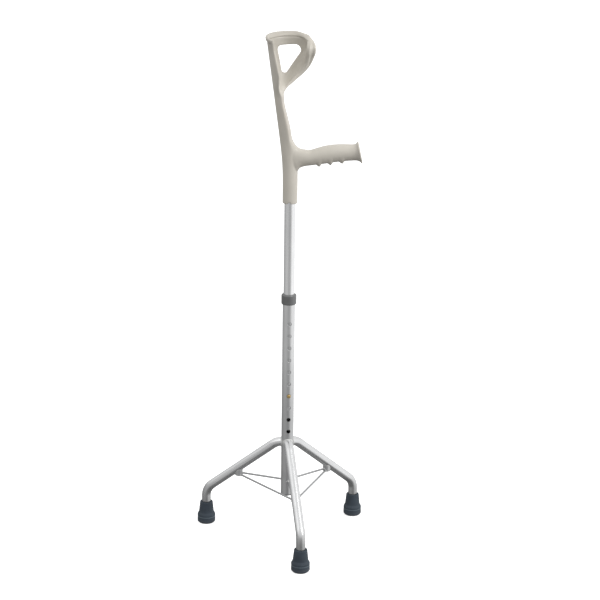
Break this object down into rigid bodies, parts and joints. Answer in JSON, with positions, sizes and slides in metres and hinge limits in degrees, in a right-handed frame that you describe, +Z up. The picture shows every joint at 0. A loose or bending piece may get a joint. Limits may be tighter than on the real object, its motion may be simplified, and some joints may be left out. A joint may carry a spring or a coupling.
{
  "type": "tripod cane",
  "caption": "Tripod cane with a moulded forearm cuff and grip on a telescopic tube, locked in height by a snap button, with braced bent legs on rubber feet.",
  "frame": {"origin": "middle of the bounding box, on the floor", "axes": "+Z up; +X the way the grip points from the column; -Y the side that the cuff opens to and the button faces"},
  "size_m": [0.3466, 0.331, 1.0366],
  "materials": {
    "moulding": "fine satin moulding, warm grey",
    "tube": "satin anodised",
    "brace": "satin anodised",
    "dark_plastic": "satin charcoal",
    "ferrule": "matt slate",
    "button": "polished",
    "spring": "bright spring strip",
    "washer": "zinc plated"
  },
  "bodies": {
    "base": {"column_tube": "tube", "column_plug": "dark_plastic", "collar": "dark_plastic", "leg_front": "tube", "leg_right": "tube", "leg_left": "tube", "lug_front": "brace", "lug_right": "brace", "lug_left": "brace", "strut_front": "brace", "strut_right": "brace", "strut_left": "brace", "tie_rod_right": "brace", "tie_rod_left": "brace", "ferrule_front": "ferrule", "ferrule_right": "ferrule", "ferrule_left": "ferrule", "washer_front": "washer", "washer_right": "washer", "washer_left": "washer"},
    "upper": {"handle_moulding": "moulding", "upper_tube": "tube", "button_spring": "spring"},
    "button": {"snap_button": "button"}
  },
  "joints": [
    {"name": "height_slide", "type": "slide", "parent": "base", "child": "upper", "axis": [0, 0, 1], "range_m": [-0.0762, 0.1524], "deforming": ["snap_button", "button_spring"]},
    {"name": "button_press", "type": "slide", "parent": "upper", "child": "button", "axis": [-0.165, 0.9863, 0], "range_m": [0, 0.0044], "stiffness_N_per_m": 800, "springref_m": -0.002, "deforming": ["button_spring"]}
  ]
}
